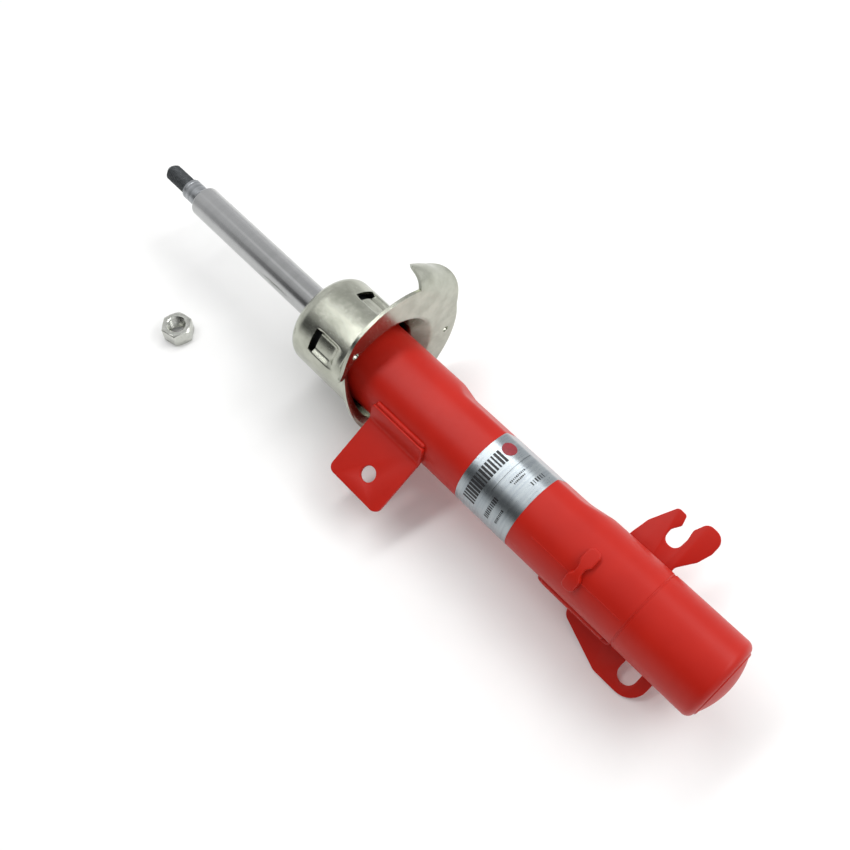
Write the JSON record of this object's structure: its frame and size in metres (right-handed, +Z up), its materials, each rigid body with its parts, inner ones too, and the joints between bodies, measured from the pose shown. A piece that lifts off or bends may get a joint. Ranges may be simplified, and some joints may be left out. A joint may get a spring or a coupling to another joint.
{
  "type": "suspension strut",
  "caption": "Twin-tube suspension strut with clamp-mount tube, spring seat, hose bracket, link tab, sliding chromed rod and loose stud nut.",
  "frame": {"origin": "on the strut's axis, in the middle of the plain length of tube that the knuckle's clamp grips", "axes": "+X along the axis towards the rod's threaded end, +Z up from the bench that the strut lies on, +Y towards the link tab's side"},
  "size_m": [0.5, 0.1424, 0.108],
  "materials": {
    "red_paint": "gloss enamel",
    "zinc_plate": "zinc plated, satin",
    "hard_chrome": "hard chromed and ground",
    "label_foil": "brushed foil",
    "plain_steel": "bright drawn",
    "sintered_iron": "sintered, matt",
    "bronze": "satin",
    "rubber": "matt",
    "nylon": "matt",
    "ptfe": "matt"
  },
  "bodies": {
    "strut_body": {"outer_tube": "red_paint", "bottom_cap": "red_paint", "link_tab": "red_paint", "link_tab_welds": "red_paint", "hose_bracket": "red_paint", "bracket_welds": "red_paint", "locating_lug": "red_paint", "rating_label": "label_foil", "spring_seat": "zinc_plate", "pressure_tube": "plain_steel", "rod_guide": "sintered_iron", "guide_bush": "bronze", "guide_o_ring": "rubber", "rod_seal": "rubber", "closure_nut": "plain_steel", "base_valve_body": "sintered_iron", "base_valve_shims": "plain_steel", "base_valve_bolt": "plain_steel", "base_valve_nut": "plain_steel", "check_plate_guide": "plain_steel", "check_spring": "plain_steel"},
    "piston_band": {"piston_band": "ptfe"},
    "rod": {"piston_rod": "hard_chrome", "rebound_stop_ring": "plain_steel", "rebound_bumper": "nylon", "piston": "sintered_iron", "compression_shims": "plain_steel", "rebound_shims": "plain_steel", "backing_washers": "plain_steel", "piston_nut": "plain_steel"},
    "check_plate": {"check_plate": "plain_steel"},
    "rod_nut": {"rod_nut": "zinc_plate"}
  },
  "joints": [
    {"name": "rod_slide", "type": "slide", "parent": "strut_body", "child": "piston_band", "axis": [1, 0, 0], "range_m": [-0.115, 0]},
    {"name": "rod_turn", "type": "hinge", "parent": "piston_band", "child": "rod", "pos_m": [0.3, 0, 0], "axis": [1, 0, 0], "continuous": true},
    {"name": "check_plate_lift", "type": "slide", "parent": "strut_body", "child": "check_plate", "axis": [1, 0, 0], "range_m": [0, 0.001], "stiffness_N_per_m": 500},
    {"name": "nut_lift", "type": "slide", "parent": "strut_body", "child": "rod_nut", "axis": [0, 0, 1], "range_m": [0, 0.06]}
  ]
}
